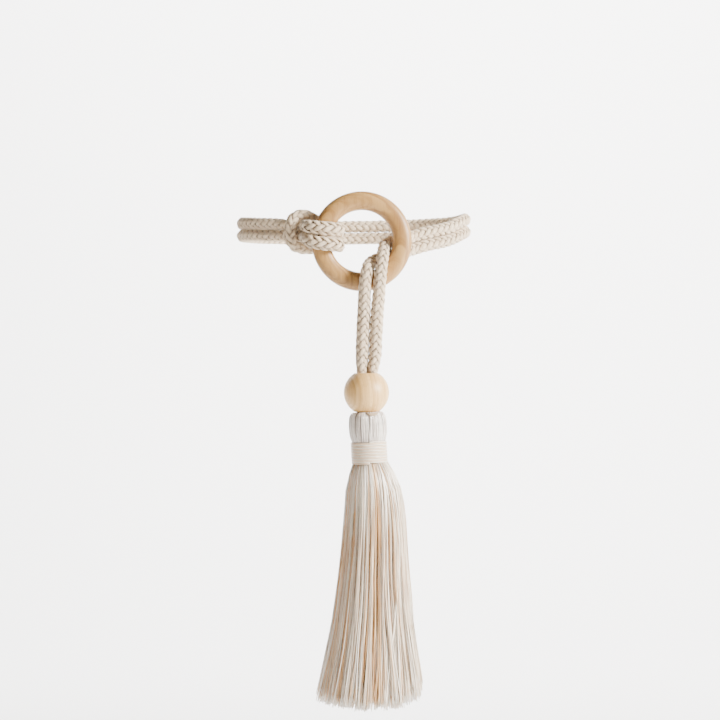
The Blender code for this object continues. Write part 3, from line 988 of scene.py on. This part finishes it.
class TIEBACK_OT_skirt(bpy.types.Operator):
    """Loose silky threads of the tassel's skirt, in locks that show the warmer ones behind"""

    bl_idname = "tieback.skirt"
    bl_label = "Add Tassel Skirt"

    segments = 15
    sides = 3
    locks = 60
    stray_share = 0.06
    bright_share = 0.1

    # Name, seed, reach from and to as shares of the section, and share of the threads
    layers = (
        ("tassel_skirt_inner", 17, 0.7, 0.9, 0.7),
        ("tassel_skirt_outer", 11, 0.86, 1.0, 1.0),
    )

    def execute(self, context):
        sizes = context.scene.tieback_sizes
        colours = context.scene.tieback_colours
        tones = (colours.thread_pale, colours.thread_peach, colours.thread_shade)
        silk = thread_material("skirt_thread", *tones, around=3.0)
        for name, seed, inner, outer, part in self.layers:
            chance = np.random.default_rng(seed)
            strands = Strands()
            locks = self.lock_table(chance)
            for _ in range(int(sizes.skirt_threads * part)):
                self.add_thread(strands, chance, locks, inner, outer)
            place(name, strands.finish(name), silk, "tassel_yarn", "tassel")
        return {"FINISHED"}

    def lock_table(self, chance):
        """Each lock's angle, sideways sway, how fast it sways, how warm it is and how much shorter."""
        shuffled = np.arange(self.locks) + chance.uniform(-0.8, 0.8, self.locks)
        angle = math.tau * shuffled / self.locks
        sway = chance.normal(0, 0.05, self.locks)
        pace = chance.uniform(1.5, 5.5, self.locks)
        warm = chance.uniform(0, 1, self.locks) * (0.65 - 0.4 * np.cos(angle))
        for middle, half_width in WARM_ROWS:
            away = (angle - math.radians(middle) + math.pi) % math.tau - math.pi
            zone = np.exp(-((away / math.radians(half_width)) ** 2))
            warm = np.maximum(warm, zone)
        shorter = chance.gamma(1.2, 2.0, self.locks)
        return np.stack([angle, sway, pace, warm, shorter], axis=1)

    def add_thread(self, strands, chance, locks, inner, outer):
        """One thread from under the band to its cut end."""
        table = np.array(SKIRT_ROWS)
        sections = smooth(table, 8, table[:, 0])
        hem = np.array(HEM_ROWS)
        share = np.append(np.linspace(0, 0.97, self.segments), 1.0)
        angle = chance.uniform(0, math.tau)
        reach = math.sqrt(chance.uniform(inner**2, outer**2))
        behind = outer < 1
        gap = (locks[:, 0] - angle + math.pi) % math.tau - math.pi
        lock_angle, sway, pace, warm, shorter = locks[np.argmin(np.abs(gap))]
        bright = not behind and chance.random() < self.bright_share
        reach *= 1 if bright else 1 - 0.05 * warm
        pull = (lock_angle - angle + math.pi) % math.tau - math.pi
        stray = chance.random() < self.stray_share
        hold = np.interp(share, [0, 0.25, 0.7, 1], [0.15, 0.5, 0.62, 0.55])
        hold *= 0 if stray else 0.3 if behind else 1
        drift = sway * np.sin(share * pace) + chance.normal(0, 0.045) * share**3
        turned = angle + pull * hold + drift * (2.2 if stray else 1)
        spread = reach + chance.normal(0, 0.03) * share**3
        spread = spread + stray * chance.uniform(0, 0.1) * np.sin(share * math.pi * 1.2)
        x, y = spread * np.cos(turned), spread * np.sin(turned)
        across = reach * math.cos(angle)
        end = np.interp(across, hem[:, 0], hem[:, 1]) - 3.5 * math.sin(angle) ** 2
        edge = abs(pull) * self.locks / math.pi
        end -= chance.gamma(1.1, 1.0) + shorter + 1.2 * min(edge, 2) ** 2 - 1.5
        start = table[0, 0] + chance.uniform(0, 1.5)
        down = start + (end - start) * share
        shift, half_width, half_depth = [
            np.interp(down, sections[:, 0], sections[:, column]) for column in (1, 2, 3)
        ]
        line = leaned(np.stack([shift + x * half_width, y * half_depth, -down], axis=1))
        line[:, :2] += 0.22 * np.sin(share[:, None] * chance.uniform(8, 16, 2) + chance.uniform(0, 6, 2))
        turn = chance.uniform(0, math.tau)
        thin = np.broadcast_to([math.cos(turn), math.sin(turn), 0.0], line.shape)
        half = chance.uniform(0.3, 0.38) if bright else chance.uniform(0.22, 0.34)
        half = half * np.interp(share, [0, 0.1, 0.97, 1], [0.7, 1, 1, 0.6])
        peachy = behind or chance.random() < 0.05 + 0.85 * warm**2
        tone = chance.uniform(0.45 + 0.4 * warm, 1.0) if peachy else chance.uniform(0, 0.4)
        # The inner layer takes a little painted shade, the outer threads are darker at random, and a few
        # bright threads are lifted into the painted highlight
        tone_and_painted_shading = chance.uniform(0.85, 1) if behind else min(chance.uniform(0.45, 1.1), 1)
        if bright:
            tone, tone_and_painted_shading = 0.0, chance.uniform(1.05, 1.35)
        # Painted highlight under the band and again near the hem, painted shade down the middle, and the
        # cut ends wholly in the painted highlight colour
        tone_and_painted_shading = tone_and_painted_shading * np.interp(share, [0, 0.15, 0.35, 0.6, 0.9, 1], [1.25, 1.08, 0.78, 0.84, 1.08, 1])
        tone_and_painted_shading = tone_and_painted_shading + (1.5 - tone_and_painted_shading) * np.interp(share, [0, 0.97, 1], [0, 0, 1])
        strands.add(line, thin, half, half, self.sides, tone, 0.0, tone_and_painted_shading[:, None])


class TIEBACK_OT_head(bpy.types.Operator):
    """Folded yarns of the tassel's head, drawn together at the top, over a solid core"""

    bl_idname = "tieback.head"
    bl_label = "Add Tassel Head"

    sides = 6
    lobes = 9
    bundles = 44
    core_inset = 0.5
    core_steps = 64

    def execute(self, context):
        sizes = context.scene.tieback_sizes
        table = np.array(HEAD_ROWS)
        profile = smooth(np.column_stack([table, np.zeros(len(table))]), 4)
        colours = context.scene.tieback_colours
        tones = (colours.head_pale, colours.head_warm, colours.head_shade)
        silk = thread_material("head_thread", *tones, around=5.0, roughness=0.14)
        chance = np.random.default_rng(5)
        strands = Strands()
        share = np.linspace(0, 1, len(profile))
        shuffled = np.arange(-1, self.lobes + 2) + chance.uniform(-0.3, 0.3, self.lobes + 3)
        edges = math.tau * shuffled / self.lobes
        lobe_tones = chance.uniform(0, 1, len(edges))
        bundle_tones = chance.uniform(0, 1, self.bundles)
        bundle_lifts = chance.normal(0, 0.16, self.bundles)
        for index in range(sizes.head_yarns):
            angle = math.tau * (index + chance.uniform(-0.35, 0.35)) / sizes.head_yarns
            after = np.searchsorted(edges, angle)
            near = edges[after - 1 : after + 1]
            lobe = near.mean()
            off = (angle - lobe) / (near[1] - near[0]) * 2
            gathered = (1 - share) ** 2
            place_round = angle / math.tau * self.bundles % self.bundles
            bundle = int(place_round)
            fold = 2 * (place_round % 1) - 1
            parted = (angle + math.pi / 2 + 0.25 + math.pi) % math.tau - math.pi
            gather = 0.18 + 0.36 * math.exp(-((parted / 0.6) ** 2))
            sway = angle + (lobe - angle) * gather * gathered
            sway = sway + 0.05 * chance.normal() * np.sin(share * chance.uniform(2, 5))
            swell = np.sin(share * math.pi) ** 0.8 * (1 - share) ** 1.2
            radius = profile[:, 0] + (0.3 - 0.95 * off**4) * swell
            lift = bundle_lifts[bundle] - 0.45 * fold**2 + chance.normal(0, 0.04)
            radius = radius + lift * np.sin(share * math.pi) ** 0.6
            line = np.stack([radius * np.cos(sway), radius * np.sin(sway), -profile[:, 1]], axis=1)
            line = leaned(line)
            beside = np.stack([np.sin(sway), -np.cos(sway), 0 * sway], axis=1)
            out = np.cross(beside, unit(np.gradient(line, axis=0)))
            half_wide = np.interp(share, [0, 0.2, 0.45, 1], [0.2, 0.29, 0.36, 0.3])
            tone = 0.3 * lobe_tones[after] + 0.5 * bundle_tones[bundle] + 0.2 * chance.uniform(0, 1)
            # Darker or lighter at random, with painted shade in the grooves between bundles and where the
            # lobes part at the top, and a painted highlight above one
            tone_and_painted_shading = chance.uniform(0.95, 1.3) - 0.85 * fold**4 - 0.7 * off**4 * gathered
            tone_and_painted_shading = np.clip(tone_and_painted_shading, 0.1, 1.3)[:, None]
            strands.add(line, out, half_wide, 0.3, self.sides, tone, 0.0, tone_and_painted_shading)
        place("tassel_head", strands.finish("tassel_head"), silk, "tassel_yarn", "tassel")
        self.add_core()
        self.add_knot_strand(context)
        return {"FINISHED"}

    def add_knot_strand(self, context):
        """The bit of cord that shows between the bead and the head, at the front right, darkened all over
        with painted shade.
        """
        route = smooth(np.array(KNOT_ROWS), 8)
        strands = Strands()
        upward = np.broadcast_to(UP, route.shape)
        half = 0.9 * np.sin(np.linspace(0.25, math.pi - 0.25, len(route))) ** 0.5
        # Painted shade over the whole strand
        strands.add(route, upward, half, half, 10, 0.5, heights=0.5)
        cotton = cotton_material(context.scene.tieback_colours)
        place("knot_strand", strands.finish("knot_strand"), cotton, "cotton_rope")

    def add_core(self):
        """The bundle under the yarns, with the recess that takes the rope's ends."""
        line = [(5.0, 3.0), (5.0, 1.2), (6.2, 0.8)]
        line += [(radius - self.core_inset, down + 0.4) for radius, down in HEAD_ROWS[3:]]
        line += [(7.4, 20.0), (7.4, 29.0)]
        points = [(0.0, 3.0), *line, (0.0, 29.0)]
        shape = bmesh.new()
        corners = [shape.verts.new((radius * MM, 0.0, -down * MM)) for radius, down in points]
        edges = [shape.edges.new(pair) for pair in zip(corners, corners[1:])]
        spin_round(shape, corners, edges, (0.0, 0.0, 0.0), UP, self.core_steps)
        lean = Matrix.Translation(Vector(TASSEL_TOP) * MM) @ Matrix.Rotation(-TASSEL_LEAN, 4, "Y")
        bmesh.ops.transform(shape, matrix=lean, verts=shape.verts)
        mesh = finish_shape(shape, "tassel_core")
        place("tassel_core", mesh, core_material(), "tassel_yarn", "tassel")


class TIEBACK_OT_band(bpy.types.Operator):
    """Thread wound round the tassel's neck"""

    bl_idname = "tieback.band"
    bl_label = "Add Neck Band"

    samples_a_turn = 56
    sides = 8
    threads = 2

    def execute(self, context):
        sizes = context.scene.tieback_sizes
        colours = context.scene.tieback_colours
        pitch = BAND_HEIGHT / sizes.band_turns
        turns = sizes.band_turns / self.threads - 0.5
        count = int(turns * self.samples_a_turn) + 1
        share = np.linspace(0, 1, count)
        chance = np.random.default_rng(3)
        knots = np.linspace(0, 1, 160)
        strands = Strands()
        inner_side = -math.pi / 2
        lift = np.sin(math.tau * np.arange(self.sides) / self.sides + inner_side)
        # Painted shade on the inner side of each turn, between the band's threads
        heights = np.broadcast_to(np.clip(0.3 + 0.7 * lift, 0, 1)[None, :], (count, self.sides))
        for thread in range(self.threads):
            angle = math.tau * (turns * share + thread / self.threads) - math.pi / 2
            down = BAND_TOP + pitch / 2 + (BAND_HEIGHT - pitch) * share
            down = down + np.interp(share, knots, chance.normal(0, 0.04, len(knots)))
            radius = 9.5 + np.interp(share, knots, chance.normal(0, 0.04, len(knots)))
            line = leaned(np.stack([radius * np.cos(angle), radius * np.sin(angle), -down], axis=1))
            out = np.stack([np.cos(angle), np.sin(angle), 0 * angle], axis=1)
            tone = 0.2 + 0.9 * thread / self.threads
            strands.add(line, out, pitch * 0.54, 0.5, self.sides, tone, inner_side, heights)
        tones = (colours.thread_pale, colours.thread_peach, colours.band_shade)
        silk = thread_material("band_thread", *tones, around=5.0, twist=0.9)
        place("neck_band", strands.finish("neck_band"), silk, "band_thread", "neck_wrap")
        return {"FINISHED"}


STEPS = (
    TIEBACK_OT_stage,
    TIEBACK_OT_rope,
    TIEBACK_OT_ring,
    TIEBACK_OT_bead,
    TIEBACK_OT_head,
    TIEBACK_OT_band,
    TIEBACK_OT_skirt,
)


class VIEW3D_PT_tieback(bpy.types.Panel):
    """The tieback's sizes, colours and pieces"""

    bl_label = "Curtain Tieback"
    bl_space_type = "VIEW_3D"
    bl_region_type = "UI"
    bl_category = "Tieback"

    def draw(self, context):
        layout = self.layout
        for settings in (context.scene.tieback_sizes, context.scene.tieback_colours):
            for name in settings.__annotations__:
                layout.prop(settings, name)
        for step in STEPS:
            layout.operator(step.bl_idname)


CLASSES = (TiebackSizes, TiebackColours, *STEPS, VIEW3D_PT_tieback)


def register():
    """Add the operators, the panel and the settings."""
    for item in CLASSES:
        bpy.utils.register_class(item)
    bpy.types.Scene.tieback_sizes = PointerProperty(type=TiebackSizes)
    bpy.types.Scene.tieback_colours = PointerProperty(type=TiebackColours)


def unregister():
    """Take them away again."""
    del bpy.types.Scene.tieback_colours
    del bpy.types.Scene.tieback_sizes
    for item in reversed(CLASSES):
        bpy.utils.unregister_class(item)


def main():
    """Make the stage and every piece."""
    register()
    bpy.ops.tieback.stage()
    bpy.ops.tieback.rope()
    bpy.ops.tieback.ring()
    bpy.ops.tieback.bead()
    bpy.ops.tieback.head()
    bpy.ops.tieback.band()
    bpy.ops.tieback.skirt()


if __name__ == "__main__":
    main()
